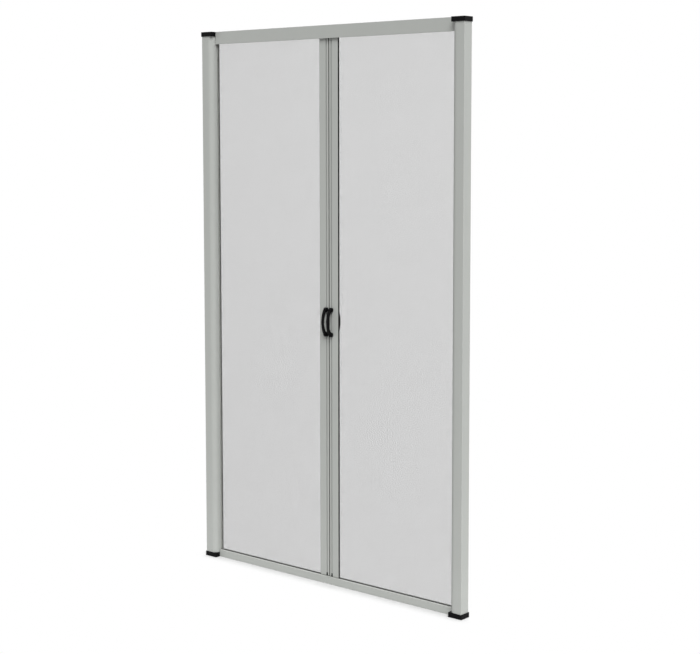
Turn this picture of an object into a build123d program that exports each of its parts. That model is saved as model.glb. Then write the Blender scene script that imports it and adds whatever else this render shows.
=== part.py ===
"""Double side-rolling screen door: two cassettes, two rails, two screens and two pull bars.

Millimetres. X runs along the width, Y into the opening, Z up. The origin is on the underside
of the bottom rail, halfway along it, in the plane of the two screens. The pieces of the right
half are drawn and the left half is their mirror image.
"""

import os

from build123d import *

os.makedirs("parts", exist_ok=True)

# Overall size, without the lips of the end caps
door_width = 1400.0
door_height = 2300.0

# Cassettes: the upright boxes that the screens roll into
cassette_width = 58.0
cassette_depth = 47.5
cassette_front = 37.5
cassette_wall = 1.6
cassette_nose_radius = 23.4
cassette_edge_radius = 1.2

# The cassette's outlet for the screen, with a strip of brush on each side of it
outlet_width = 9.0
outlet_lip = 8.0
slot_brush_proud = 7.0
slot_brush_thickness = 3.5
slot_brush_end_gap = 1.0

# End caps
cap_lip = 3.0
cap_thickness = 19.0
cap_corner_radius = 2.5
cap_edge_radius = 0.8
cap_plug_height = 3.5
cap_plug_clearance = 2.0
cap_tenon_length = 10.0
cap_tenon_clearance = 1.0

# Spring tube and the turns of screen on it
tube_radius = 11.0
tube_wall = 1.2
wound_thickness = 1.5
spigot_height = 15.0
spigot_clearance = 0.1

# Rails
rail_setback = 22.0
rail_wall = 1.5
rail_mouth = 11.0
top_rail_height = 53.0
top_skirt_height = 15.0
bottom_rail_height = 30.0
rail_edge_radius = 1.2
rail_brush_thickness = 2.0
rail_brush_height = 3.0
rail_brush_proud = 0.5

# Screens, with a plain grid of openings, far coarser than the weave, in place of the mesh
screen_thickness = 0.4
screen_tuck = 6.0
net_columns = 8
net_rows = 30
net_strand = 14.0

# Pull bars
bar_width = 49.0
bar_depth = 22.0
bar_front = 6.5
bar_box_width = 30.0
bar_wing_depth = 8.5
bar_wall = 1.5
bar_meeting_gap = 1.0
bar_end_gap = 2.0
bar_edge_radius = 0.7
groove_centre = 13.3
groove_width = 4.5
groove_depth = 4.5
groove_undercut = 2.0
magnet_thickness = 3.4
magnet_proud = 1.8
magnet_margin = 1.3
retainer_pocket = 9.0
retainer_proud = 0.5
retainer_margin = 0.3

# Bar ends that run in the rails
guide_bridge = 0.8
guide_clearance = 1.0
guide_play = 2.0
guide_head_height = 18.0
guide_head_inset = 5.0
guide_neck_thickness = 4.0
guide_plug_length = 30.0
guide_plug_clearance = 0.2
groove_nub_height = 12.0

# Handles
handle_height = 1095.0
handle_length = 120.0
handle_grip_width = 12.0
handle_grip_thickness = 7.0
handle_reach = 28.5
handle_shoulder_reach = 13.0
handle_shoulder_inset = 3.0
handle_leg = 16.0
handle_foot_width = 18.0
handle_foot_thickness = 9.0
handle_foot_radius = 6.0
handle_edge_radius = 2.0
handle_screw_inset = 9.0
handle_screw_seat = 4.0
handle_screw_recess_radius = 3.6
handle_screw_hole_radius = 2.1

# Places that follow from the sizes above
outer_x = door_width / 2
inner_x = outer_x - cassette_width
front_y = -cassette_front
back_y = cassette_depth - cassette_front
cassette_low = cap_thickness
cassette_high = door_height - cap_thickness
mid_height = door_height / 2
rail_end = inner_x - cap_lip
rail_front = front_y + rail_setback
rail_back = back_y + cap_lip
mouth_half = rail_mouth / 2
outlet_half = outlet_width / 2
outlet_back = inner_x + outlet_lip
top_rail_low = door_height - top_rail_height
top_lip_low = top_rail_low + top_skirt_height
bar_low = bottom_rail_height + bar_end_gap
bar_high = top_lip_low - bar_end_gap
bar_front_y = -bar_front
bar_back_y = bar_front_y + bar_depth
magnet_x = bar_meeting_gap / 2
bar_inner_x = magnet_x + magnet_proud
bar_box_x = bar_inner_x + bar_box_width
bar_outer_x = bar_width
wing_back_y = bar_front_y + bar_wing_depth
pocket_x = bar_outer_x - retainer_pocket
magnet_front = bar_front_y + magnet_margin
magnet_back = bar_back_y - magnet_margin
groove_low = groove_centre - groove_width / 2
groove_high = groove_centre + groove_width / 2
wound_radius = tube_radius + wound_thickness
roll_x = (inner_x + outer_x) / 2
roll_y = -screen_thickness / 2 - wound_radius
screen_low = bottom_rail_height - screen_tuck
screen_high = top_lip_low + screen_tuck
screen_edge_x = bar_outer_x + retainer_proud
bottom_brush_high = bottom_rail_height + rail_brush_proud
top_brush_low = top_lip_low - rail_brush_proud


def span(x_low, x_high, y_low, y_high, mode=Mode.ADD):
    """A rectangle of a profile, given by its four sides."""
    with Locations(((x_low + x_high) / 2, (y_low + y_high) / 2)):
        Rectangle(x_high - x_low, y_high - y_low, mode=mode)


def save(name, part):
    """Label a finished piece and write it."""
    part.label = name
    export_step(part, f"parts/{name}.step")


def save_pair(name, right_part):
    """Write a piece of the right half and its mirror image on the left."""
    save(f"{name}_right", right_part)
    with BuildPart() as left:
        mirror(right_part, about=Plane.YZ)
    save(f"{name}_left", left.part)


# Cassette: an open-slotted aluminium box with a rounded front corner towards the screen
with BuildPart() as cassette:
    with BuildSketch(Plane.XY.offset(cassette_low)):
        with BuildSketch(mode=Mode.PRIVATE) as outline:
            span(inner_x, outer_x, front_y, back_y)
            nose = outline.vertices().group_by(Axis.X)[0].sort_by(Axis.Y)[0]
            fillet(nose, cassette_nose_radius)
            others = outline.vertices().group_by(Axis.X)[-1]
            fillet(others, cassette_edge_radius)
        add(outline.sketch)
        offset(outline.sketch, amount=-cassette_wall, mode=Mode.SUBTRACT)
        span(inner_x, outlet_back, -outlet_half - cassette_wall, outlet_half + cassette_wall)
        span(inner_x, outlet_back, -outlet_half, outlet_half, mode=Mode.SUBTRACT)
    extrude(amount=cassette_high - cassette_low)
save_pair("cassette", cassette.part)

# Strips of brush in the outlet, in front of the screen and behind it
brush_low = bottom_brush_high + slot_brush_end_gap
brush_high = top_brush_low - slot_brush_end_gap
slot_brush_sides = {
    "front": (-outlet_half, -outlet_half + slot_brush_thickness),
    "rear": (outlet_half - slot_brush_thickness, outlet_half),
}
for place, (brush_y_low, brush_y_high) in slot_brush_sides.items():
    with BuildPart() as slot_brush:
        with BuildSketch(Plane.XY.offset(brush_low)):
            span(inner_x - slot_brush_proud, outlet_back, brush_y_low, brush_y_high)
        extrude(amount=brush_high - brush_low)
    save_pair(f"slot_brush_{place}", slot_brush.part)

# End cap: a plate with a lip all round, a plug for the cassette, a spigot for the tube and
# a tenon for the rail
with BuildPart() as cap:
    with BuildSketch():
        span(inner_x - cap_lip, outer_x + cap_lip, front_y - cap_lip, back_y + cap_lip)
    extrude(amount=cap_thickness)
    fillet(cap.edges().filter_by(Axis.Z), cap_corner_radius)
    fillet(cap.faces().sort_by(Axis.Z)[-1].edges(), cap_edge_radius)
    with BuildSketch(Plane.XY.offset(cap_thickness)) as plug:
        plug_gap = cassette_wall + cap_plug_clearance
        plug_near_x = outlet_back + cap_plug_clearance
        span(plug_near_x, outer_x - plug_gap, front_y + plug_gap, back_y - plug_gap)
        nose = plug.vertices().group_by(Axis.X)[0].sort_by(Axis.Y)[0]
        fillet(nose, cassette_nose_radius - plug_gap)
    extrude(amount=cap_plug_height)
    with BuildSketch(Plane.XY.offset(cap_thickness + cap_plug_height)):
        with Locations((roll_x, roll_y)):
            Circle(tube_radius - tube_wall - spigot_clearance)
    extrude(amount=spigot_height)
    with BuildSketch(Plane.YZ.offset(rail_end - cap_tenon_length)):
        tenon_gap = rail_wall + cap_tenon_clearance
        span(rail_front + tenon_gap, rail_back - tenon_gap, rail_wall, cap_thickness - cap_tenon_clearance)
    extrude(amount=cap_tenon_length + cap_corner_radius)
save_pair("cap_bottom", cap.part)

with BuildPart() as cap_above:
    mirror(cap.part, about=Plane.XY.offset(mid_height))
save_pair("cap_top", cap_above.part)

# Spring tube, standing on the plugs of the two caps, and the turns of screen on it
tube_low = cap_thickness + cap_plug_height
tube_high = door_height - tube_low
with BuildPart() as tube:
    with BuildSketch(Plane.XY.offset(tube_low)):
        with Locations((roll_x, roll_y)):
            Circle(tube_radius)
            Circle(tube_radius - tube_wall, mode=Mode.SUBTRACT)
    extrude(amount=tube_high - tube_low)
save_pair("roller_tube", tube.part)

with BuildPart() as wound:
    with BuildSketch(Plane.XY.offset(screen_low)):
        with Locations((roll_x, roll_y)):
            Circle(wound_radius)
            Circle(tube_radius, mode=Mode.SUBTRACT)
    extrude(amount=screen_high - screen_low)
save_pair("wound_screen", wound.part)

# Screen: it leaves the roll at a tangent and ends at the retainer of the pull bar. The openings
# fill what is seen of it, between the bar, the brushes of the outlet and the two rails.
net_width = inner_x - slot_brush_proud - screen_edge_x
net_height = top_rail_low - bottom_rail_height
net_middle = (screen_edge_x + net_width / 2, bottom_rail_height + net_height / 2)
column_pitch = net_width / net_columns
row_pitch = net_height / net_rows
with BuildPart() as screen:
    with BuildSketch(Plane.XZ.offset(-screen_thickness / 2)):
        span(screen_edge_x, roll_x, screen_low, screen_high)
        with Locations(net_middle):
            with GridLocations(column_pitch, row_pitch, net_columns, net_rows):
                Rectangle(column_pitch - net_strand, row_pitch - net_strand, mode=Mode.SUBTRACT)
    extrude(amount=screen_thickness)
save_pair("screen", screen.part)

# Bottom rail: a channel with its mouth up, between two inward flanges
with BuildPart() as bottom_rail:
    with BuildSketch(Plane.YZ.offset(-rail_end)) as profile:
        span(rail_front, rail_back, 0, bottom_rail_height)
        fillet(profile.vertices().group_by(Axis.Y)[0], rail_edge_radius)
        channel_low = rail_wall
        channel_high = bottom_rail_height - rail_wall
        span(rail_front + rail_wall, rail_back - rail_wall, channel_low, channel_high, mode=Mode.SUBTRACT)
        span(-mouth_half, mouth_half, channel_high, bottom_rail_height, mode=Mode.SUBTRACT)
    extrude(amount=2 * rail_end)
save("bottom_rail", bottom_rail.part)

# Top rail: the same channel upside down, with a skirt in front that hides the tops of the bars
with BuildPart() as top_rail:
    with BuildSketch(Plane.YZ.offset(-rail_end)) as profile:
        span(rail_front, rail_back, top_lip_low, door_height)
        span(rail_front, rail_front + rail_wall, top_rail_low, door_height)
        skirt_edge = profile.vertices().group_by(Axis.Y)[0].sort_by(Axis.X)[0]
        fillet(skirt_edge, rail_edge_radius)
        channel_low = top_lip_low + rail_wall
        channel_high = door_height - rail_wall
        span(rail_front + rail_wall, rail_back - rail_wall, channel_low, channel_high, mode=Mode.SUBTRACT)
        span(-mouth_half, mouth_half, top_lip_low, channel_low, mode=Mode.SUBTRACT)
    extrude(amount=2 * rail_end)
save("top_rail", top_rail.part)

# Strips of brush along both mouths, one on each side of the screen
rail_brush_bands = {
    "bottom": (bottom_brush_high - rail_brush_height, bottom_brush_high),
    "top": (top_brush_low, top_brush_low + rail_brush_height),
}
rail_brush_sides = {
    "front": (-mouth_half, -mouth_half + rail_brush_thickness),
    "rear": (mouth_half - rail_brush_thickness, mouth_half),
}
for rail_name, (brush_z_low, brush_z_high) in rail_brush_bands.items():
    for place, (brush_y_low, brush_y_high) in rail_brush_sides.items():
        with BuildPart() as rail_brush:
            with BuildSketch(Plane.YZ.offset(-rail_end)):
                span(brush_y_low, brush_y_high, brush_z_low, brush_z_high)
            extrude(amount=2 * rail_end)
        save(f"{rail_name}_brush_{place}", rail_brush.part)

# Pull bar: a box towards the meeting line, a flat wing with a pocket towards the screen, and
# an undercut groove in front and behind, where the nuts of the handles slide
with BuildPart() as bar:
    with BuildSketch(Plane.XY.offset(bar_low)) as section:
        span(bar_inner_x, bar_box_x, bar_front_y, bar_back_y)
        span(bar_inner_x, bar_outer_x, bar_front_y, wing_back_y)
        fillet(section.vertices(), bar_edge_radius)
        hollow_front = bar_front_y + bar_wall
        hollow_back = bar_back_y - bar_wall
        span(bar_inner_x + 2 * bar_wall, bar_box_x - bar_wall, hollow_front, hollow_back, mode=Mode.SUBTRACT)
        span(bar_box_x, pocket_x - bar_wall, hollow_front, wing_back_y - bar_wall, mode=Mode.SUBTRACT)
        span(pocket_x, bar_outer_x, hollow_front, wing_back_y - bar_wall, mode=Mode.SUBTRACT)
        cavity_low = groove_low - groove_undercut
        cavity_high = groove_high + groove_undercut
        for face_y, inward in ((bar_front_y, 1), (bar_back_y, -1)):
            lip_y = face_y + inward * bar_wall
            floor_y = face_y + inward * groove_depth
            wall_y = floor_y + inward * bar_wall
            span(cavity_low - bar_wall, cavity_high + bar_wall, min(face_y, wall_y), max(face_y, wall_y))
            span(cavity_low, cavity_high, min(lip_y, floor_y), max(lip_y, floor_y), mode=Mode.SUBTRACT)
            span(groove_low, groove_high, min(face_y, lip_y), max(face_y, lip_y), mode=Mode.SUBTRACT)
        span(bar_inner_x, magnet_x + magnet_thickness, magnet_front, magnet_back, mode=Mode.SUBTRACT)
    extrude(amount=bar_high - bar_low)
save_pair("pull_bar", bar.part)

# Magnet strip in the meeting edge
with BuildPart() as magnet:
    with BuildSketch(Plane.XY.offset(bar_low)):
        span(magnet_x, magnet_x + magnet_thickness, magnet_front, magnet_back)
    extrude(amount=bar_high - bar_low)
save_pair("magnet_strip", magnet.part)

# Retainer: a dark T-shaped strip that clamps the edge of the screen in the wing's pocket
with BuildPart() as retainer:
    with BuildSketch(Plane.XY.offset(bar_low)):
        lip_front = bar_front_y + retainer_margin
        lip_back = wing_back_y - retainer_margin
        span(bar_outer_x, screen_edge_x, lip_front, lip_back)
        span(pocket_x, bar_outer_x, bar_front_y + bar_wall, wing_back_y - bar_wall)
    extrude(amount=bar_high - bar_low)
save_pair("screen_retainer", retainer.part)


def bar_end(bar_end_z, head_near_z, head_far_z, plug_far_z, nub_far_z):
    """A bar end: plug in the bar, nub in its groove, neck through the rail's mouth, head in the rail."""
    with BuildPart() as end:
        with BuildSketch(Plane.XY.offset(bar_end_z)):
            plug_gap = bar_wall + guide_plug_clearance
            groove_gap = groove_depth + bar_wall + guide_plug_clearance
            plug_x = bar_inner_x + 2 * bar_wall + guide_plug_clearance
            span(plug_x, bar_box_x - plug_gap, bar_front_y + groove_gap, bar_back_y - groove_gap)
        extrude(amount=plug_far_z - bar_end_z)
        head_low_x = bar_inner_x + guide_head_inset
        head_high_x = bar_outer_x - guide_head_inset
        with BuildSketch(Plane.XY.offset(bar_end_z)):
            span(head_low_x, head_high_x, -guide_neck_thickness / 2, guide_neck_thickness / 2)
        extrude(amount=head_near_z - bar_end_z)
        head_gap = rail_wall + guide_clearance
        with BuildSketch(Plane.XY.offset(head_near_z)):
            span(head_low_x, head_high_x, rail_front + head_gap, rail_back - head_gap)
        extrude(amount=head_far_z - head_near_z)
        with BuildSketch(Plane.XY.offset(bar_end_z)):
            span(groove_low, groove_high, bar_front_y, bar_front_y + groove_depth)
        extrude(amount=nub_far_z - bar_end_z)
        with BuildSketch(Plane.XY.offset(bar_end_z)):
            span(groove_low, groove_high, bar_front_y, 0)
        extrude(amount=guide_bridge if head_near_z > bar_end_z else -guide_bridge)
    return end.part


# Ends of the pull bar
bottom_channel_top = bottom_rail_height - rail_wall
bottom_head_top = bottom_channel_top - guide_play
bottom_guide = bar_end(
    bar_low,
    bottom_head_top,
    bottom_head_top - guide_head_height,
    bar_low + guide_plug_length,
    bar_low + groove_nub_height,
)
save_pair("bottom_guide", bottom_guide)

top_head_low = top_lip_low + rail_wall + guide_play
top_guide = bar_end(
    bar_high,
    top_head_low,
    top_head_low + guide_head_height,
    bar_high - guide_plug_length,
    bar_high - groove_nub_height,
)
save_pair("top_guide", top_guide)

# Handle: a bowed grip on two feet, with a recess for the screw in each foot
half_length = handle_length / 2
screw_z = half_length - handle_screw_inset
shoulder_z = half_length - handle_shoulder_inset
leg_z = half_length - handle_leg
inner_reach = handle_reach - handle_grip_thickness
inner_shoulder = handle_shoulder_reach - handle_grip_thickness
screw_places = ((groove_centre, handle_height - screw_z), (groove_centre, handle_height + screw_z))
bar_face = Plane.XZ.offset(bar_front)
with BuildPart() as handle:
    with BuildSketch(Plane.YZ.offset(groove_centre)):
        with BuildLine():
            ThreePointArc(
                (bar_front_y - handle_shoulder_reach, handle_height - shoulder_z),
                (bar_front_y - handle_reach, handle_height),
                (bar_front_y - handle_shoulder_reach, handle_height + shoulder_z),
            )
            Polyline(
                (bar_front_y - handle_shoulder_reach, handle_height + shoulder_z),
                (bar_front_y, handle_height + half_length),
                (bar_front_y, handle_height + leg_z),
                (bar_front_y - inner_shoulder, handle_height + leg_z),
            )
            ThreePointArc(
                (bar_front_y - inner_shoulder, handle_height + leg_z),
                (bar_front_y - inner_reach, handle_height),
                (bar_front_y - inner_shoulder, handle_height - leg_z),
            )
            Polyline(
                (bar_front_y - inner_shoulder, handle_height - leg_z),
                (bar_front_y, handle_height - leg_z),
                (bar_front_y, handle_height - half_length),
                (bar_front_y - handle_shoulder_reach, handle_height - shoulder_z),
            )
        make_face()
    extrude(amount=handle_grip_width / 2, both=True)
    fillet(handle.edges().filter_by(GeomType.CIRCLE), handle_edge_radius)
    with BuildSketch(bar_face):
        with Locations(*screw_places):
            foot_height = 2 * handle_screw_inset
            RectangleRounded(handle_foot_width, foot_height, handle_foot_radius)
    extrude(amount=handle_foot_thickness)
    with BuildSketch(bar_face.offset(handle_screw_seat)):
        with Locations(*screw_places):
            Circle(handle_screw_recess_radius)
    extrude(amount=handle_reach, mode=Mode.SUBTRACT)
    with BuildSketch(bar_face):
        with Locations(*screw_places):
            Circle(handle_screw_hole_radius)
    extrude(amount=handle_reach, mode=Mode.SUBTRACT)
save_pair("handle_front", handle.part)

bar_middle = Plane.XZ.offset(-(bar_front_y + bar_back_y) / 2)
with BuildPart() as handle_behind:
    mirror(handle.part, about=bar_middle)
save_pair("handle_rear", handle_behind.part)
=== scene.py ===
# %% [markdown]
# # A double retractable screen door
#
# The door stands free in front of white, as in a shop picture: a frame of grey coated aluminium, two insect
# screens that roll off a spring tube in each side cassette, and two pull bars that meet in the middle.
#
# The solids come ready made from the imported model. This lesson adds what solids leave out: the threads of
# the screens, the pile of the brushes, the screws of the handles, and a finish for every surface.

import math

import bpy
import numpy as np
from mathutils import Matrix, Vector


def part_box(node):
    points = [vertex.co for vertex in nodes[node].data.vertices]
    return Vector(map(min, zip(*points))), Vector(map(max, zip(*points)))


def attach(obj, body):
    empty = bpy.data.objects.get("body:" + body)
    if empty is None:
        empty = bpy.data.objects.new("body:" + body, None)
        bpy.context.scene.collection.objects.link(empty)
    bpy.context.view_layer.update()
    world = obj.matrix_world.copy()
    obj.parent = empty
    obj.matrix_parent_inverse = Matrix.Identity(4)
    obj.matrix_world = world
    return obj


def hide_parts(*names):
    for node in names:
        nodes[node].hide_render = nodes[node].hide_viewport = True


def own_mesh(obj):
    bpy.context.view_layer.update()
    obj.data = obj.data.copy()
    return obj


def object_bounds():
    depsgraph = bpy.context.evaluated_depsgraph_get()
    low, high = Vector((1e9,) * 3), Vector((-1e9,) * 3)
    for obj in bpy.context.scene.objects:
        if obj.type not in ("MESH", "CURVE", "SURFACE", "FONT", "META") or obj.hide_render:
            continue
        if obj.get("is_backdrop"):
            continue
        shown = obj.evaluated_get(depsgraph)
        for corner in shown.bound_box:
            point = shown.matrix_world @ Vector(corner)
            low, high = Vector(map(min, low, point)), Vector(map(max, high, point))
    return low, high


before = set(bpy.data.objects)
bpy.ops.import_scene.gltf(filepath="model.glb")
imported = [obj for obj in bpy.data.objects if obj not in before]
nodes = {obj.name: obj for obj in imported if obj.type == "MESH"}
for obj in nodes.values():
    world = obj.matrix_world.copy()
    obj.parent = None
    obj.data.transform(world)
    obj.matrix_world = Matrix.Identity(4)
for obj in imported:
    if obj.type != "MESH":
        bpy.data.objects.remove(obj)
cad_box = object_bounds()
print(len(nodes), "nodes, box", [round(v, 4) for corner in cad_box for v in corner])

# %% [markdown]
# ## Camera
#
# The picture was taken from the right of the door, at about eye height, with the lines of the frame kept
# nearly upright. A camera that looks down makes uprights lean, and a lens shift avoids that. The shift here
# is part of what the picture would need, so that the door also stays in view when the camera goes round it.
# The rest is a camera pitch of five degrees.

# %% Place the camera
PICTURE_WIDTH = 700
PICTURE_HEIGHT = 654
FOCAL_PIXELS = 1498.3
PRINCIPAL_COLUMN = 363.1
PRINCIPAL_ROW = 270.0
CAMERA_PLACE = (4.0303, -4.5831, 1.8559)
CAMERA_PITCH = 5.12
CAMERA_TURN = 40.06

camera_data = bpy.data.cameras.new("picture_camera")
camera_data.sensor_width = 36.0
camera_data.lens = camera_data.sensor_width * FOCAL_PIXELS / PICTURE_WIDTH
camera_data.shift_x = (PICTURE_WIDTH / 2 - PRINCIPAL_COLUMN) / PICTURE_WIDTH
camera_data.shift_y = (PRINCIPAL_ROW - PICTURE_HEIGHT / 2) / PICTURE_WIDTH
camera_data.clip_start = 0.1
camera_data.clip_end = 100.0
camera = bpy.data.objects.new("picture_camera", camera_data)
camera.location = CAMERA_PLACE
camera.rotation_euler = (math.radians(90 - CAMERA_PITCH), 0, math.radians(CAMERA_TURN))
bpy.context.scene.collection.objects.link(camera)
bpy.context.scene.camera = camera
shift = [round(s, 3) for s in (camera_data.shift_x, camera_data.shift_y)]
print("lens", round(camera_data.lens, 1), "mm, shift", shift)

# %% [markdown]
# ## Small helpers for nodes
#
# A material is a tree of nodes. Short helpers keep the trees readable: one adds a node with its settings,
# one a sum or product, one a mix of two colours, and two start and place a node group. A group is an effect
# that is built once and then placed in many materials, each with its own numbers.


# %% Helpers: nodes, sums and mixes
def add_node(tree, kind, **settings):
    """A new node with its settings; inputs is a table of sockets, each with a value or a link."""
    node = tree.nodes.new(kind)
    inputs = settings.pop("inputs", {})
    for name, value in settings.items():
        setattr(node, name, value)
    for name, value in inputs.items():
        if isinstance(value, bpy.types.NodeSocket):
            tree.links.new(value, node.inputs[name])
        else:
            node.inputs[name].default_value = value
    return node


def calculate(tree, operation, first, second=0.0, clamp=False):
    """The output of a Math node."""
    node = tree.nodes.new("ShaderNodeMath")
    node.operation = operation
    node.use_clamp = clamp
    for place, value in ((0, first), (1, second)):
        if isinstance(value, bpy.types.NodeSocket):
            tree.links.new(value, node.inputs[place])
        else:
            node.inputs[place].default_value = value
    return node.outputs[0]


def mix_colours(tree, share, first, second):
    """The output of a Mix node between two colours."""
    node = tree.nodes.new("ShaderNodeMix")
    node.data_type = "RGBA"
    colour_inputs = [s for s in node.inputs if s.type == "RGBA"]
    for socket, value in ((node.inputs[0], share), (colour_inputs[0], first), (colour_inputs[1], second)):
        if isinstance(value, bpy.types.NodeSocket):
            tree.links.new(value, socket)
        else:
            socket.default_value = value
    return [s for s in node.outputs if s.type == "RGBA"][0]


# %% Helpers: colours
def grey(value):
    """A neutral colour of that value."""
    return (value, value, value, 1)


def scaled(colour, factor):
    """The colour, darker or lighter by a factor."""
    return tuple(value * factor for value in colour[:3]) + (1,)


# %% Helpers: groups of nodes
FLOAT = "NodeSocketFloat"
VECTOR = "NodeSocketVector"


def start_group(name, inputs, outputs):
    """An empty node group with named sockets, its input node and its output node."""
    group = bpy.data.node_groups.new(name, "ShaderNodeTree")
    for label, kind, value in inputs:
        socket = group.interface.new_socket(label, in_out="INPUT", socket_type=kind)
        socket.default_value = value
    for label, kind in outputs:
        group.interface.new_socket(label, in_out="OUTPUT", socket_type=kind)
    return group, group.nodes.new("NodeGroupInput"), group.nodes.new("NodeGroupOutput")


def place_group(tree, group, **inputs):
    """The group as a node in a material, with its inputs filled; underscores stand for spaces."""
    node = tree.nodes.new("ShaderNodeGroup")
    node.node_tree = group
    for name, value in inputs.items():
        socket = node.inputs[name.replace("_", " ")]
        if isinstance(value, bpy.types.NodeSocket):
            tree.links.new(value, socket)
        else:
            socket.default_value = value
    return node


# %% [markdown]
# ## Four effects that the finishes share
#
# **Fine grain** is the skin of powder coat and of moulded plastic: small soft bumps without direction. It
# is a noise texture in object space, so that it keeps its real size on every piece.
#
# **Drawn lines** are the faint lengthwise lines that a die leaves on an extruded profile. The same noise
# does it, when it is squeezed across the profile and stretched along it.
#
# **Edge wear** finds corners. The Bevel node gives the normal that a rounded corner would have, and where
# that differs from the flat normal, there is an edge. A noise breaks the line up, because real wear is
# uneven.
#
# **Dust** lies on faces that look up, thicker in some places than in others.

# %% Fine grain, and a slow cloud for uneven colour
CLOUD_SCALE = 9.0

fine_grain, given, result = start_group(
    "fine grain",
    [("Size mm", FLOAT, 0.8), ("Roughness", FLOAT, 0.5)],
    [("Height", FLOAT), ("Cloud", FLOAT)],
)
place = add_node(fine_grain, "ShaderNodeTexCoord")
per_metre = calculate(fine_grain, "DIVIDE", 1000.0, given.outputs["Size mm"])
grain = add_node(fine_grain, "ShaderNodeTexNoise", inputs={
    "Vector": place.outputs["Object"], "Scale": per_metre, "Detail": 2.0,
    "Roughness": given.outputs["Roughness"]})
cloud = add_node(fine_grain, "ShaderNodeTexNoise", inputs={
    "Vector": place.outputs["Object"], "Scale": CLOUD_SCALE, "Detail": 4.0, "Roughness": 0.6})
fine_grain.links.new(grain.outputs["Fac"], result.inputs["Height"])
fine_grain.links.new(cloud.outputs["Fac"], result.inputs["Cloud"])
print(fine_grain.name, [s.name for s in fine_grain.interface.items_tree])

# %% Drawn lines
drawn_lines, given, result = start_group(
    "drawn lines",
    [("Across mm", VECTOR, (1.0, 1.0, 1.0))],
    [("Height", FLOAT)],
)
place = add_node(drawn_lines, "ShaderNodeTexCoord")
stretched = add_node(drawn_lines, "ShaderNodeVectorMath", operation="DIVIDE",
                     inputs={0: place.outputs["Object"], 1: given.outputs["Across mm"]})
lines = add_node(drawn_lines, "ShaderNodeTexNoise", inputs={
    "Vector": stretched.outputs["Vector"], "Scale": 1000.0, "Detail": 3.0, "Roughness": 0.55})
drawn_lines.links.new(lines.outputs["Fac"], result.inputs["Height"])
print(drawn_lines.name, [s.name for s in drawn_lines.interface.items_tree])

# %% Edge wear
WEAR_SCALE = 60.0
WEAR_STRENGTH = 6.0

edge_wear, given, result = start_group(
    "edge wear",
    [("Reach mm", FLOAT, 1.0), ("Amount", FLOAT, 0.5)],
    [("Mask", FLOAT)],
)
flat = add_node(edge_wear, "ShaderNodeNewGeometry")
reach = calculate(edge_wear, "DIVIDE", given.outputs["Reach mm"], 1000.0)
rounded = add_node(edge_wear, "ShaderNodeBevel", samples=6, inputs={"Radius": reach})
closeness = add_node(edge_wear, "ShaderNodeVectorMath", operation="DOT_PRODUCT",
                     inputs={0: flat.outputs["Normal"], 1: rounded.outputs["Normal"]})
turned = calculate(edge_wear, "SUBTRACT", 1.0, closeness.outputs["Value"])
place = add_node(edge_wear, "ShaderNodeTexCoord")
broken = add_node(edge_wear, "ShaderNodeTexNoise", inputs={
    "Vector": place.outputs["Object"], "Scale": WEAR_SCALE, "Detail": 5.0, "Roughness": 0.65})
uneven = add_node(edge_wear, "ShaderNodeMapRange", inputs={
    "Value": broken.outputs["Fac"], "From Min": 0.42, "From Max": 0.62})
strength = calculate(edge_wear, "MULTIPLY", turned, WEAR_STRENGTH, clamp=True)
strength = calculate(edge_wear, "MULTIPLY", strength, uneven.outputs["Result"])
strength = calculate(edge_wear, "MULTIPLY", strength, given.outputs["Amount"], clamp=True)
edge_wear.links.new(strength, result.inputs["Mask"])
print(edge_wear.name, [s.name for s in edge_wear.interface.items_tree])

# %% Dust
DUST_SCALE = 35.0

dust, given, result = start_group(
    "dust",
    [("Amount", FLOAT, 0.3)],
    [("Mask", FLOAT)],
)
surface = add_node(dust, "ShaderNodeNewGeometry")
facing = add_node(dust, "ShaderNodeSeparateXYZ", inputs={"Vector": surface.outputs["Normal"]})
upward = add_node(dust, "ShaderNodeMapRange", inputs={
    "Value": facing.outputs["Z"], "From Min": 0.5, "From Max": 1.0})
place = add_node(dust, "ShaderNodeTexCoord")
patches = add_node(dust, "ShaderNodeTexNoise", inputs={
    "Vector": place.outputs["Object"], "Scale": DUST_SCALE, "Detail": 6.0, "Roughness": 0.7})
patchy = add_node(dust, "ShaderNodeMapRange", inputs={
    "Value": patches.outputs["Fac"], "From Min": 0.35, "From Max": 0.7})
lying = calculate(dust, "MULTIPLY", upward.outputs["Result"], patchy.outputs["Result"])
lying = calculate(dust, "MULTIPLY", lying, given.outputs["Amount"], clamp=True)
dust.links.new(lying, result.inputs["Mask"])
print(dust.name, [s.name for s in dust.interface.items_tree])

# %% [markdown]
# ## Light and floor
#
# The picture has white all round and only a faint shadow where the door meets the floor. A large soft light
# stands high in front and to the right, since the bars are darker just under the top rail and the rounded
# edges are the brightest. A second one stands low at the right end, which is brighter than the front, and a
# third stands high behind, so that the rails throw a little shadow forward. The white itself comes from the
# floor's and the world's own colour, as the camera and reflections see it, so it puts no extra light on the
# door. Close to the door the floor shows its own paint, which holds the shadow, and a hand's width away it
# has turned into plain white. What the floor throws back at the door is a value of its own, and it falls off
# with distance, because an endless white floor would light the door too much from below.


# %% Show colours as written, and make the world white for the camera
SKY = 0.35
PLAIN_WHITE = (1, 1, 1, 1)


def rays_that_look(tree):
    """1 for rays that see the background: from the camera, from shiny faces and through clear ones."""
    path = add_node(tree, "ShaderNodeLightPath")
    looking = calculate(tree, "MAXIMUM", path.outputs["Is Camera Ray"], path.outputs["Is Glossy Ray"])
    return calculate(tree, "MAXIMUM", looking, path.outputs["Is Transmission Ray"])


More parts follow.
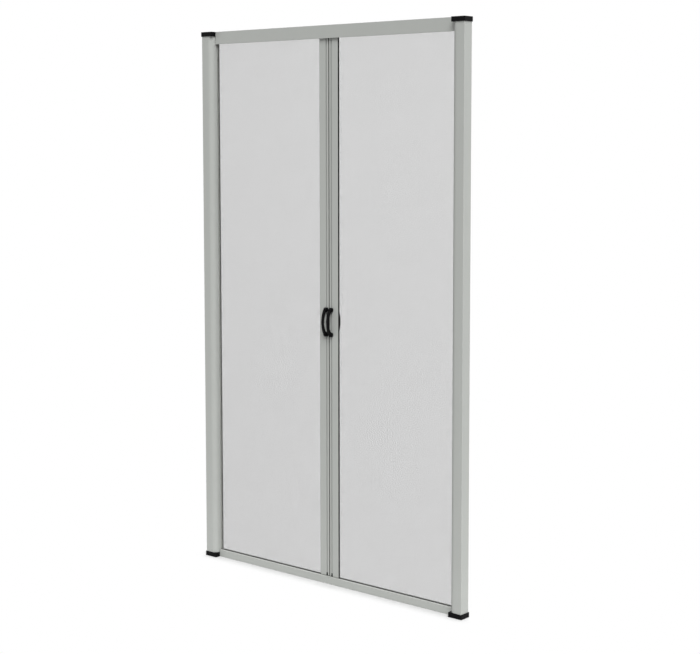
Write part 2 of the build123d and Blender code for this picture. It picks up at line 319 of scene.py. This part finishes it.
bpy.context.scene.view_settings.view_transform = "Standard"
world = bpy.data.worlds.new("studio")
world.use_nodes = True
bpy.context.scene.world = world
tree = world.node_tree
tree.nodes.clear()
seen = rays_that_look(tree)
lit = add_node(tree, "ShaderNodeBackground", inputs={"Color": PLAIN_WHITE, "Strength": SKY})
white = add_node(tree, "ShaderNodeBackground", inputs={"Color": PLAIN_WHITE, "Strength": 1.0})
both = add_node(tree, "ShaderNodeMixShader", inputs={0: seen, 1: lit.outputs[0], 2: white.outputs[0]})
add_node(tree, "ShaderNodeOutputWorld", inputs={"Surface": both.outputs[0]})
print("sky strength", SKY, "and white", white.inputs["Strength"].default_value, "where it is looked at")

# %% Lay the floor
FLOOR_BOUNCE_NEAR = 0.62
FLOOR_BOUNCE_FAR = 0.32
BOUNCE_REACH = 2.2
FLOOR_SEEN = 0.65
SHADOW_NEAR = 0.004
SHADOW_FAR = 0.068
SHADOW_LINE = -0.018
FLOOR_HALF = 30.0
FLOOR_Z = -0.0004

half_door = cad_box[1][0]
floor_corners = ((-1, -1), (1, -1), (1, 1), (-1, 1))
floor_mesh = bpy.data.meshes.new("floor")
floor_points = [(x * FLOOR_HALF, y * FLOOR_HALF, FLOOR_Z) for x, y in floor_corners]
floor_mesh.from_pydata(floor_points, [], [(0, 1, 2, 3)])
floor = bpy.data.objects.new("floor", floor_mesh)
bpy.context.scene.collection.objects.link(floor)
floor_material = bpy.data.materials.new("pale_floor")
floor_material.use_nodes = True
tree = floor_material.node_tree
tree.nodes.clear()
seen = rays_that_look(tree)
place = add_node(tree, "ShaderNodeTexCoord")
axes = add_node(tree, "ShaderNodeSeparateXYZ", inputs={"Vector": place.outputs["Object"]})
beside = calculate(tree, "SUBTRACT", calculate(tree, "ABSOLUTE", axes.outputs["X"]), half_door)
beside = calculate(tree, "MAXIMUM", beside, 0.0)
ahead = calculate(tree, "SUBTRACT", axes.outputs["Y"], SHADOW_LINE)
beside_squared = calculate(tree, "MULTIPLY", beside, beside)
ahead_squared = calculate(tree, "MULTIPLY", ahead, ahead)
away = calculate(tree, "SQRT", calculate(tree, "ADD", beside_squared, ahead_squared))
fade = add_node(tree, "ShaderNodeMapRange", interpolation_type="SMOOTHSTEP", inputs={
    "Value": away, "From Min": SHADOW_NEAR, "From Max": SHADOW_FAR})
own_white = calculate(tree, "MULTIPLY", seen, fade.outputs["Result"])
paler = add_node(tree, "ShaderNodeMapRange", inputs={
    "Value": away, "From Min": 0.0, "From Max": BOUNCE_REACH})
bounce = mix_colours(tree, paler.outputs["Result"], grey(FLOOR_BOUNCE_NEAR), grey(FLOOR_BOUNCE_FAR))
colour = mix_colours(tree, seen, bounce, grey(FLOOR_SEEN))
paint = add_node(tree, "ShaderNodeBsdfDiffuse", inputs={"Color": colour})
glow = add_node(tree, "ShaderNodeEmission", inputs={"Color": PLAIN_WHITE, "Strength": 1.0})
total = add_node(tree, "ShaderNodeMixShader", inputs={0: own_white, 1: paint.outputs[0], 2: glow.outputs[0]})
add_node(tree, "ShaderNodeOutputMaterial", inputs={"Surface": total.outputs[0]})
floor_mesh.materials.append(floor_material)
floor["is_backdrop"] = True
print("floor", 2 * FLOOR_HALF, "m wide, shadow up to", SHADOW_FAR, "m from the door")


# %% Hang the three lights
def add_light(name, strength, softness, elevation, azimuth):
    """A distant soft lamp; azimuth 0 stands in front of the door, 90 at its right end."""
    data = bpy.data.lights.new(name, "SUN")
    data.energy = strength
    data.angle = math.radians(softness)
    lamp = bpy.data.objects.new(name, data)
    lamp.rotation_euler = (math.radians(90 - elevation), 0, math.radians(azimuth))
    bpy.context.scene.collection.objects.link(lamp)
    return lamp


lamps = [
    add_light("high_front", strength=3.25, softness=35, elevation=50, azimuth=45),
    add_light("right_side", strength=0.8, softness=60, elevation=15, azimuth=110),
    add_light("high_back", strength=1.4, softness=45, elevation=58, azimuth=200),
]
print("lights", [lamp.name for lamp in lamps])

# %% [markdown]
# ## Grey coated aluminium
#
# The profiles are drawn aluminium with a satin powder coat. The coat hides the metal, so it isn't metallic:
# it is a grey plastic skin with a soft shine. Close up it has the slight waviness of baked powder over
# faint lengthwise lines from the die. At sharp corners the coat is thinner and a little lighter, and dust
# dulls what faces up.

# %% The coat's colours
COAT_GREY = (0.405, 0.418, 0.398, 1)
COAT_THIN = (0.53, 0.54, 0.52, 1)
DUST_GREY = (0.50, 0.49, 0.46, 1)
COAT_CLOUD = (0.965, 1.03)
print("coat grey", COAT_GREY[:3])


# %% Helpers: a new finish, its clouds and its bumps
def finished(name):
    """A new material with its Principled shader and output."""
    material = bpy.data.materials.new(name)
    material.use_nodes = True
    tree = material.node_tree
    tree.nodes.clear()
    shader = add_node(tree, "ShaderNodeBsdfPrincipled")
    add_node(tree, "ShaderNodeOutputMaterial", inputs={"Surface": shader.outputs[0]})
    return material, tree, shader


def cloudy(tree, cloud, base, darkest, lightest):
    """The base colour, varied by a mask between two factors."""
    return mix_colours(tree, cloud, scaled(base, darkest), scaled(base, lightest))


def spread(tree, mask, gain, base):
    """The mask times gain plus base, where base is a number or another mask."""
    output = calculate(tree, "MULTIPLY_ADD", mask, gain)
    if isinstance(base, bpy.types.NodeSocket):
        tree.links.new(base, output.node.inputs[2])
    else:
        output.node.inputs[2].default_value = base
    return output


def emboss(tree, shader, height, strength, depth_mm):
    """Bump the surface by a height mask."""
    bump = add_node(tree, "ShaderNodeBump", inputs={
        "Strength": strength, "Distance": depth_mm / 1000, "Height": height})
    tree.links.new(bump.outputs["Normal"], shader.inputs["Normal"])


# %% A satin coat for the profiles
def coat(name, line_stretch):
    """Powder coat on a profile; line_stretch is the die lines' size along X, Y and Z in millimetres."""
    material, tree, shader = finished(name)
    skin = place_group(tree, fine_grain, Size_mm=1.1, Roughness=0.45)
    die = place_group(tree, drawn_lines, Across_mm=line_stretch)
    corners = place_group(tree, edge_wear, Reach_mm=0.7, Amount=0.35)
    settled = place_group(tree, dust, Amount=0.3)
    colour = cloudy(tree, skin.outputs["Cloud"], COAT_GREY, *COAT_CLOUD)
    colour = mix_colours(tree, corners.outputs["Mask"], colour, COAT_THIN)
    colour = mix_colours(tree, settled.outputs["Mask"], colour, DUST_GREY)
    tree.links.new(colour, shader.inputs["Base Color"])
    rough = spread(tree, skin.outputs["Cloud"], 0.10, 0.38)
    rough = calculate(tree, "ADD", rough, settled.outputs["Mask"])
    tree.links.new(rough, shader.inputs["Roughness"])
    height = spread(tree, die.outputs["Height"], 0.5, skin.outputs["Height"])
    emboss(tree, shader, height, strength=0.12, depth_mm=0.2)
    return material


upright_coat = coat("upright_coat", (0.6, 0.6, 120.0))
rail_coat = coat("rail_coat", (120.0, 0.6, 0.6))
print("coats", upright_coat.name, rail_coat.name)

# %% [markdown]
# ## Black plastics and rubbers
#
# The end caps and guides are moulded in a mould with a matt spark texture. The handles come from a smoother
# mould and shine a little more. The strips along the bars are soft: an extruded magnetic strip with fine
# lengthwise ribs, and a soft profile that clamps the edge of the screen. All are near black, so their shape
# is read from their shine, and each gets its own roughness and grain.

# %% Moulded plastic
BLACK_GLOSS = 0.05
BLACK_DUST = (0.16, 0.155, 0.145, 1)


def moulded(name, black, rubbed, grain_mm, depth_mm, rough_mean, wear):
    """A moulded black plastic, paler at rubbed corners; the size and depth of its grain in millimetres."""
    material, tree, shader = finished(name)
    shader.inputs["Specular IOR Level"].default_value = BLACK_GLOSS
    skin = place_group(tree, fine_grain, Size_mm=grain_mm, Roughness=0.6)
    corners = place_group(tree, edge_wear, Reach_mm=0.8, Amount=wear)
    settled = place_group(tree, dust, Amount=0.12)
    colour = cloudy(tree, skin.outputs["Cloud"], black, 0.8, 1.25)
    colour = mix_colours(tree, corners.outputs["Mask"], colour, rubbed)
    colour = mix_colours(tree, settled.outputs["Mask"], colour, BLACK_DUST)
    tree.links.new(colour, shader.inputs["Base Color"])
    rough = spread(tree, skin.outputs["Cloud"], 0.12, rough_mean - 0.06)
    rough = calculate(tree, "ADD", rough, settled.outputs["Mask"])
    tree.links.new(rough, shader.inputs["Roughness"])
    emboss(tree, shader, skin.outputs["Height"], strength=0.5, depth_mm=depth_mm)
    return material


# %% Soft extrusions
def extruded(name, black, rib_mm, rough_mean):
    """A soft black extrusion that runs upright, with ribs of that size across."""
    material, tree, shader = finished(name)
    shader.inputs["Specular IOR Level"].default_value = BLACK_GLOSS
    ribs = place_group(tree, drawn_lines, Across_mm=(rib_mm, rib_mm, 400.0))
    skin = place_group(tree, fine_grain, Size_mm=0.5, Roughness=0.5)
    settled = place_group(tree, dust, Amount=0.15)
    colour = cloudy(tree, ribs.outputs["Height"], black, 0.6, 1.5)
    colour = mix_colours(tree, settled.outputs["Mask"], colour, BLACK_DUST)
    tree.links.new(colour, shader.inputs["Base Color"])
    rough = spread(tree, skin.outputs["Cloud"], 0.15, rough_mean - 0.07)
    tree.links.new(rough, shader.inputs["Roughness"])
    height = spread(tree, ribs.outputs["Height"], 2.0, skin.outputs["Height"])
    emboss(tree, shader, height, strength=0.5, depth_mm=0.15)
    return material


# %% Mix the five blacks
cap_plastic = moulded("cap_plastic", (0.0045, 0.0045, 0.0048), (0.035, 0.035, 0.037, 1),
                      grain_mm=0.5, depth_mm=0.05, rough_mean=0.42, wear=0.5)
guide_plastic = moulded("guide_plastic", (0.005, 0.005, 0.005), (0.035, 0.035, 0.035, 1),
                        grain_mm=0.6, depth_mm=0.04, rough_mean=0.5, wear=0.4)
handle_plastic = moulded("handle_plastic", (0.0045, 0.0045, 0.005), (0.035, 0.035, 0.037, 1),
                         grain_mm=0.35, depth_mm=0.02, rough_mean=0.3, wear=0.35)
magnet_rubber = extruded("magnet_rubber", (0.02, 0.018, 0.017), rib_mm=0.35, rough_mean=0.62)
retainer_rubber = extruded("retainer_rubber", (0.004, 0.004, 0.0045), rib_mm=0.8, rough_mean=0.5)
print("blacks", [m.name for m in bpy.data.materials if "plastic" in m.name or "rubber" in m.name])

# %% [markdown]
# ## Bare tube and rolled screen
#
# The spring tube inside a cassette is plain drawn aluminium. It carries a few turns of screen, which show
# only through the outlet. The rolled screen is a solid here, so its weave is drawn in its finish: waves
# round the roll and up it, of which the higher one shows at each place. The hollows between the threads
# get a darker colour: painted shade where the turns below would lie in shadow.

# %% Tube metal
tube_metal, tree, shader = finished("tube_metal")
die = place_group(tree, drawn_lines, Across_mm=(0.4, 0.4, 200.0))
skin = place_group(tree, fine_grain, Size_mm=0.7, Roughness=0.5)
colour = mix_colours(tree, die.outputs["Height"], (0.50, 0.50, 0.51, 1), (0.68, 0.68, 0.69, 1))
tree.links.new(colour, shader.inputs["Base Color"])
shader.inputs["Metallic"].default_value = 1.0
tree.links.new(spread(tree, skin.outputs["Cloud"], 0.15, 0.32), shader.inputs["Roughness"])
emboss(tree, shader, die.outputs["Height"], strength=0.3, depth_mm=0.1)
print(tube_metal.name)

# %% Rolled weave
THREAD_PITCH_ACROSS = 0.00141
THREAD_PITCH_UP = 0.00159

rolled_weave, tree, shader = finished("rolled_weave")
place = add_node(tree, "ShaderNodeTexCoord")
axes = add_node(tree, "ShaderNodeSeparateXYZ", inputs={"Vector": place.outputs["Object"]})
around = calculate(tree, "ADD", axes.outputs["X"], axes.outputs["Y"])
across_turn = calculate(tree, "MULTIPLY", around, 2 * math.pi / THREAD_PITCH_ACROSS)
up_turn = calculate(tree, "MULTIPLY", axes.outputs["Z"], 2 * math.pi / THREAD_PITCH_UP)
upright = calculate(tree, "COSINE", across_turn)
level = calculate(tree, "COSINE", up_turn)
thread = calculate(tree, "MAXIMUM", upright, level)
thread = add_node(tree, "ShaderNodeMapRange", inputs={"Value": thread, "From Min": 0.2, "From Max": 0.9})
# Low places of the weave get the darker colour: painted shade in the hollows between the threads.
colour = mix_colours(tree, thread.outputs["Result"], (0.004, 0.004, 0.004, 1), (0.03, 0.03, 0.032, 1))
tree.links.new(colour, shader.inputs["Base Color"])
shader.inputs["Roughness"].default_value = 0.6
emboss(tree, shader, thread.outputs["Result"], strength=0.8, depth_mm=0.3)
print("pitch of the weave", 1000 * THREAD_PITCH_ACROSS, "by", 1000 * THREAD_PITCH_UP, "mm")

# %% [markdown]
# ## Give each solid its finish
#
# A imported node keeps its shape, and only the material in its slot is changed. The names of the nodes say
# what they are, so a short table from the start of a name to a finish does it.

# %% Dress the solids
FINISH_BY_NAME = (
    ("cassette", upright_coat), ("pull_bar", upright_coat),
    ("top_rail", rail_coat), ("bottom_rail", rail_coat),
    ("cap", cap_plastic), ("top_guide", guide_plastic), ("bottom_guide", guide_plastic),
    ("handle", handle_plastic), ("magnet_strip", magnet_rubber), ("screen_retainer", retainer_rubber),
    ("roller_tube", tube_metal), ("wound_screen", rolled_weave),
)

for name, node in nodes.items():
    for start, finish in FINISH_BY_NAME:
        if name.startswith(start):
            if not node.material_slots:
                node.data.materials.append(finish)
            for held in node.material_slots:
                held.material = finish
print({start: sum(name.startswith(start) for name in nodes) for start, _ in FINISH_BY_NAME})

# %% [markdown]
# ## Threads of the screens
#
# An insect screen is a net of coated glass threads, 18 by 16 to the inch and about 0.29 mm thick. From a
# few metres it looks like a grey veil, because the eye mixes dark thread and open hole. A see-through sheet
# would give the veil but nothing close up, so each thread is real here: a thin six-sided tube as long as
# the screen. The threads are straight, as the coating fuses them where they cross, but no weave is
# perfectly even, so each one stands up to a sixth of a millimetre off its place. That also keeps threads
# and pixels from making arcs together. All are written straight into arrays, since thousands of separate
# objects would be slow.


# %% Helpers: one mesh from many equal rods
def new_piece(name, points, faces, material, smooth=False):
    """A mesh object from points and from faces that all have the same number of corners."""
    mesh = bpy.data.meshes.new(name)
    points = np.asarray(points, np.float32)
    faces = np.asarray(faces, np.int32)
    corners = faces.shape[1]
    mesh.vertices.add(len(points))
    mesh.vertices.foreach_set("co", points.ravel())
    mesh.loops.add(faces.size)
    mesh.loops.foreach_set("vertex_index", faces.ravel())
    mesh.polygons.add(len(faces))
    mesh.polygons.foreach_set("loop_start", np.arange(len(faces), dtype=np.int32) * corners)
    mesh.polygons.foreach_set("use_smooth", np.full(len(faces), smooth))
    mesh.update(calc_edges=True)
    mesh.materials.append(material)
    piece = bpy.data.objects.new(name, mesh)
    bpy.context.scene.collection.objects.link(piece)
    return piece


def rods(starts, ends, ring_start, ring_end, mirrored=False):
    """Points and four-sided faces of rods, each with a ring of offsets at its start and one at its end.

    Where the rings turn left-handed about the rods, mirrored makes the faces look outward.
    """
    sides = ring_start.shape[-2]
    points = np.concatenate([starts[:, None, :] + ring_start, ends[:, None, :] + ring_end], axis=1)
    side = np.arange(sides)
    after = (side + 1) % sides
    faces = np.stack([side, after, after + sides, side + sides], axis=1)
    if mirrored:
        faces = faces[:, ::-1]
    first = np.arange(len(starts))[:, None, None] * 2 * sides
    return points.reshape(-1, 3), (faces[None] + first).reshape(-1, 4)


# %% Thread finish
THREAD_BLACK = (0.018, 0.018, 0.0195)

screen_thread, tree, shader = finished("screen_thread")
skin = place_group(tree, fine_grain, Size_mm=3.0, Roughness=0.6)
colour = cloudy(tree, skin.outputs["Cloud"], THREAD_BLACK, 0.7, 1.3)
tree.links.new(colour, shader.inputs["Base Color"])
tree.links.new(spread(tree, skin.outputs["Height"], 0.2, 0.45), shader.inputs["Roughness"])
print(screen_thread.name)


# %% Thread the two screens
THREAD_THICKNESS = 0.00029
THREAD_WANDER = 0.00016
THREAD_SIDES = 6
weave_numbers = np.random.default_rng(11)


def ring(sides, radius, flat_axis):
    """Offsets of a round section, square to the X axis (0) or the Z axis (2)."""
    turn = np.arange(sides) * 2 * math.pi / sides
    offsets = np.zeros((sides, 3))
    offsets[:, 1] = radius * np.cos(turn)
    offsets[:, 2 - flat_axis] = radius * np.sin(turn)
    return offsets


for side, joint in (("left", "left_bar_slide"), ("right", "right_bar_slide")):
    low, high = (np.array(corner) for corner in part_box(f"screen_{side}"))
    middle = (low[1] + high[1]) / 2
    width, height = high[0] - low[0], high[2] - low[2]
    upright_x = np.arange(low[0] + THREAD_PITCH_ACROSS / 2, high[0], THREAD_PITCH_ACROSS)
    level_z = np.arange(low[2] + THREAD_PITCH_UP / 2, high[2], THREAD_PITCH_UP)
    upright_x += weave_numbers.uniform(-1, 1, len(upright_x)) * THREAD_WANDER
    level_z += weave_numbers.uniform(-1, 1, len(level_z)) * THREAD_WANDER
    upright_start = np.array([(x, middle, low[2]) for x in upright_x])
    upright_end = upright_start + (0, 0, height)
    level_start = np.array([(low[0], middle, z) for z in level_z])
    level_end = level_start + (width, 0, 0)
    upright_ring = ring(THREAD_SIDES, THREAD_THICKNESS / 2, 2)
    level_ring = ring(THREAD_SIDES, THREAD_THICKNESS / 2, 0)
    points_a, faces_a = rods(upright_start, upright_end, upright_ring, upright_ring, mirrored=True)
    points_b, faces_b = rods(level_start, level_end, level_ring, level_ring)
    threads = new_piece(f"screen_threads_{side}", np.concatenate([points_a, points_b]),
                        np.concatenate([faces_a, faces_b + len(points_a)]), screen_thread, smooth=True)
    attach(threads, "frame")
    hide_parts(f"screen_{side}")
    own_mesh(threads)
    print(threads.name, len(upright_x), "by", len(level_z), "threads")

# %% [markdown]
# ## Brush pile
#
# Draught brushes are rows of fine fibres set in a narrow backing. They close the outlet of each cassette
# and the gap between bars and rails. Hair particles would look right but don't belong to a part that others
# reuse, so each small bundle of fibres is a thin three-sided blade that tapers and leans a little at
# random. A slim core keeps the rows dense, as light doesn't pass through a real brush. The random numbers
# have a fixed seed.


# %% Two shades of pile: grey in the outlets, near black in the rails
def pile_grey(value):
    """A grey with a touch of the coat's green."""
    return (value * 0.98, value, value * 0.94, 1)


def pile(name, darkest, palest):
    """Fibres between two greys."""
    material, tree, shader = finished(name)
    strands = place_group(tree, fine_grain, Size_mm=0.6, Roughness=0.7)
    colour = mix_colours(tree, strands.outputs["Height"], pile_grey(darkest), pile_grey(palest))
    tree.links.new(colour, shader.inputs["Base Color"])
    tree.links.new(spread(tree, strands.outputs["Cloud"], 0.15, 0.65), shader.inputs["Roughness"])
    return material


outlet_pile = pile("outlet_pile", 0.20, 0.55)
rail_pile = pile("rail_pile", 0.012, 0.06)
print("piles", outlet_pile.name, rail_pile.name)


# %% Make one brush
BUNDLE_SPACING = 0.0008
BUNDLE_ROWS = 3
BUNDLE_RADIUS = 0.00042
BUNDLE_TAPER = 0.55
LEAN_ALONG = 0.0007
LEAN_ACROSS = 0.0006
STRAY_ACROSS = 0.0003
STRAY_ALONG = BUNDLE_SPACING * 0.3
UNEVEN_TIPS = 0.0008
PILE_BACKING = 0.0015
CORE_INSET = 0.28
CORE_REACH = 0.82
BOX_FACES = [(0, 1, 3, 2), (4, 6, 7, 5), (0, 4, 5, 1), (2, 3, 7, 6), (0, 2, 6, 4), (1, 5, 7, 3)]
random_numbers = np.random.default_rng(7)


def box_points(low, high):
    """The eight corners of a box, in the order that BOX_FACES counts on."""
    (x0, y0, z0), (x1, y1, z1) = low, high
    return np.array([(x, y, z) for x in (x0, x1) for y in (y0, y1) for z in (z0, z1)])


def brush(name, node, fibres, long_axis, pile_axis, towards_high):
    """Pile that fills the node's box: long_axis along the strip, pile_axis from backing to tip."""
    low, high = (np.array(corner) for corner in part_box(node))
    thin_axis = 3 - long_axis - pile_axis
    root, tip = (low[pile_axis], high[pile_axis]) if towards_high else (high[pile_axis], low[pile_axis])
    way = 1 if towards_high else -1
    along = np.arange(low[long_axis] + BUNDLE_SPACING, high[long_axis] - BUNDLE_SPACING / 2, BUNDLE_SPACING)
    across = np.linspace(low[thin_axis], high[thin_axis], BUNDLE_ROWS + 2)[1:-1]
    grid_along, grid_across = (g.ravel() for g in np.meshgrid(along, across, indexing="ij"))
    count = len(grid_along)
    shift = random_numbers.uniform(-1, 1, (count, 4))
    starts = np.zeros((count, 3))
    starts[:, long_axis] = grid_along + shift[:, 0] * STRAY_ALONG
    starts[:, thin_axis] = grid_across + shift[:, 1] * STRAY_ACROSS
    starts[:, pile_axis] = root + way * PILE_BACKING * 0.5
    ends = starts.copy()
    ends[:, long_axis] += shift[:, 2] * LEAN_ALONG
    ends[:, thin_axis] += shift[:, 3] * LEAN_ACROSS
    ends[:, pile_axis] = tip - way * random_numbers.uniform(0, UNEVEN_TIPS, count)
    turn = random_numbers.uniform(0, 2 * math.pi, (count, 1)) + np.arange(3) * 2 * math.pi / 3
    ring_start = np.zeros((count, 3, 3))
    ring_start[:, :, long_axis] = BUNDLE_RADIUS * np.cos(turn)
    ring_start[:, :, thin_axis] = BUNDLE_RADIUS * np.sin(turn)
    # In half of the brushes a blade's ring turns left-handed about the way the blade points.
    mirrored = (way > 0) != (pile_axis == 2)
    points, faces = rods(starts, ends, ring_start, ring_start * BUNDLE_TAPER, mirrored)
    inset = (high[thin_axis] - low[thin_axis]) * CORE_INSET
    for depth, side_inset in ((PILE_BACKING, 0.0), (abs(tip - root) * CORE_REACH, inset)):
        part_low, part_high = low.copy(), high.copy()
        part_low[thin_axis] += side_inset
        part_high[thin_axis] -= side_inset
        if towards_high:
            part_high[pile_axis] = low[pile_axis] + depth
        else:
            part_low[pile_axis] = high[pile_axis] - depth
        faces = np.concatenate([faces, np.array(BOX_FACES) + len(points)])
        points = np.concatenate([points, box_points(part_low, part_high)])
    points = np.clip(points, low, high)
    piece = new_piece(name, points, faces, fibres)
    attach(piece, "frame")
    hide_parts(node)
    return count


# %% Plant the eight brushes
bundles = 0
for side, towards_high in (("left", True), ("right", False)):
    for face in ("front", "rear"):
        name, node = f"slot_pile_{face}_{side}", f"slot_brush_{face}_{side}"
        bundles += brush(name, node, outlet_pile, 2, 0, towards_high)
for rail, towards_high in (("bottom", True), ("top", False)):
    for face in ("front", "rear"):
        name, node = f"{rail}_pile_{face}", f"{rail}_brush_{face}"
        bundles += brush(name, node, rail_pile, 0, 2, towards_high)
print(bundles, "bundles of fibres")

# %% [markdown]
# ## Screws of the handles
#
# Each foot of a handle has a round recess with a small pan-head screw at its bottom. The head is a profile
# turned round its axis: a rim, a gentle dome and a cross cut with sloping walls. Two crossed wedges could
# be cut out with a boolean, but a disc of rings is simpler: the points that lie inside the cross are pushed
# down.

# %% Screw metal
screw_metal, tree, shader = finished("screw_metal")
skin = place_group(tree, fine_grain, Size_mm=0.4, Roughness=0.5)
corners = place_group(tree, edge_wear, Reach_mm=0.2, Amount=0.6)
colour = mix_colours(tree, skin.outputs["Cloud"], (0.42, 0.42, 0.43, 1), (0.56, 0.56, 0.57, 1))
colour = mix_colours(tree, corners.outputs["Mask"], colour, (0.7, 0.7, 0.7, 1))
tree.links.new(colour, shader.inputs["Base Color"])
shader.inputs["Metallic"].default_value = 1.0
tree.links.new(spread(tree, skin.outputs["Cloud"], 0.12, 0.28), shader.inputs["Roughness"])
print("screw metal", screw_metal.name)


# %% Turn a screw head
HEAD_RADIUS = 0.0033
HEAD_HEIGHT = 0.0019
HEAD_SIDES = 48
DOME_SHARES = np.linspace(0.05, 0.96, 20)
DOME_FALL = 0.55
RIM_HEIGHT = 0.45
CROSS_LENGTH = 0.0019
CROSS_WIDTH = 0.00042
CROSS_SLOPE = 0.6
CROSS_DEPTH = 0.75


def screw_head(name, centre, outward, body):
    """A pan head whose seat is at centre and whose top looks along outward, -1 or 1 on the Y axis."""
    rings = [(0.0, 1.0)] + [(share, math.sqrt(1 - DOME_FALL * share ** 2)) for share in DOME_SHARES]
    rings += [(1.0, RIM_HEIGHT), (1.0, 0.0)]
    points = []
    for share, lift in rings:
        for k in range(HEAD_SIDES):
            turn = 2 * math.pi * k / HEAD_SIDES
            x, z = (share * HEAD_RADIUS * f(turn) for f in (math.cos, math.sin))
            depth = 0.0
            for along, across in ((abs(x), abs(z)), (abs(z), abs(x))):
                if along < CROSS_LENGTH and across < CROSS_WIDTH:
                    depth = max(depth, 1 - along / CROSS_LENGTH * CROSS_SLOPE)
            height = lift * HEAD_HEIGHT - depth * HEAD_HEIGHT * CROSS_DEPTH
            points.append((centre[0] + x, centre[1] + outward * height, centre[2] + z))
    faces = []
    for ring_number in range(len(rings) - 1):
        for k in range(HEAD_SIDES):
            a = ring_number * HEAD_SIDES + k
            b = ring_number * HEAD_SIDES + (k + 1) % HEAD_SIDES
            face = (a, b, b + HEAD_SIDES, a + HEAD_SIDES)
            faces.append(face if outward > 0 else (a, a + HEAD_SIDES, b + HEAD_SIDES, b))
    piece = new_piece(name, points, faces, screw_metal, smooth=True)
    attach(piece, body)


# %% Drive in the screws
SCREW_INSET = 0.009
SCREW_SEAT = 0.004

for side in ("left", "right"):
    bar_low, bar_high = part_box(f"pull_bar_{side}")
    for face, outward, surface in (("front", -1, bar_low[1]), ("rear", 1, bar_high[1])):
        low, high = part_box(f"handle_{face}_{side}")
        middle = (low[0] + high[0]) / 2
        seat = surface + outward * SCREW_SEAT
        for end, z in (("top", high[2] - SCREW_INSET), ("bottom", low[2] + SCREW_INSET)):
            screw_head(f"screw_{face}_{end}_{side}", (middle, seat, z), outward, f"{side}_bar")

# %% [markdown]
# ## Stops at the feet of the grooves
#
# The grooves of the pull bars end in a small black stop that keeps dirt out and the handles' nuts in. It is
# a moulded wedge, wider at its foot, that lies over the mouth of the groove. A wedge is a box whose upper
# corners are drawn together, and a bevel rounds its edges as a mould would.

# %% Shape a stop
STOP_HEIGHT = 0.013
STOP_PROUD = 0.0009
STOP_SUNK = 0.0008
STOP_FOOT_WIDTH = 0.0082
STOP_TOP_WIDTH = 0.0064
STOP_ROUNDING = 0.0004
STOP_TOP_SHARE = 0.55


def groove_stop(name, centre_x, surface, outward, foot, body):
    """A wedge over the groove's mouth that stands at the height foot; outward is -1 or 1 on the Y axis."""
    points = []
    at_foot = (foot, STOP_FOOT_WIDTH / 2, STOP_PROUD)
    at_top = (foot + STOP_HEIGHT, STOP_TOP_WIDTH / 2, STOP_PROUD * STOP_TOP_SHARE)
    for z, half_width, proud in (at_foot, at_top):
        for sideways in (-1, 1):
            for y in (surface - outward * STOP_SUNK, surface + outward * proud):
                points.append((centre_x + sideways * half_width, y, z))
    faces = BOX_FACES if outward > 0 else [face[::-1] for face in BOX_FACES]
    piece = new_piece(name, points, faces, guide_plastic)
    rounding = piece.modifiers.new("rounding", "BEVEL")
    rounding.width = STOP_ROUNDING
    rounding.segments = 3
    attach(piece, body)


# %% Press in the stops
for side in ("left", "right"):
    bar_low, bar_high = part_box(f"pull_bar_{side}")
    for face, outward, surface in (("front", -1, bar_low[1]), ("rear", 1, bar_high[1])):
        low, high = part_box(f"handle_{face}_{side}")
        middle = (low[0] + high[0]) / 2
        groove_stop(f"groove_stop_{face}_{side}", middle, surface, outward, bar_low[2], f"{side}_bar")

# %% [markdown]
# ## How far the box moved
#
# The shift of each corner of the box, from the solids to the dressed door, is printed in millimetres.

# %% Print how far the corners moved
new_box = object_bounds()
for corner, old, new in zip(("low", "high"), cad_box, new_box):
    print(corner, "corner moved by mm", [round(1000 * (b - a), 2) for a, b in zip(old, new)])
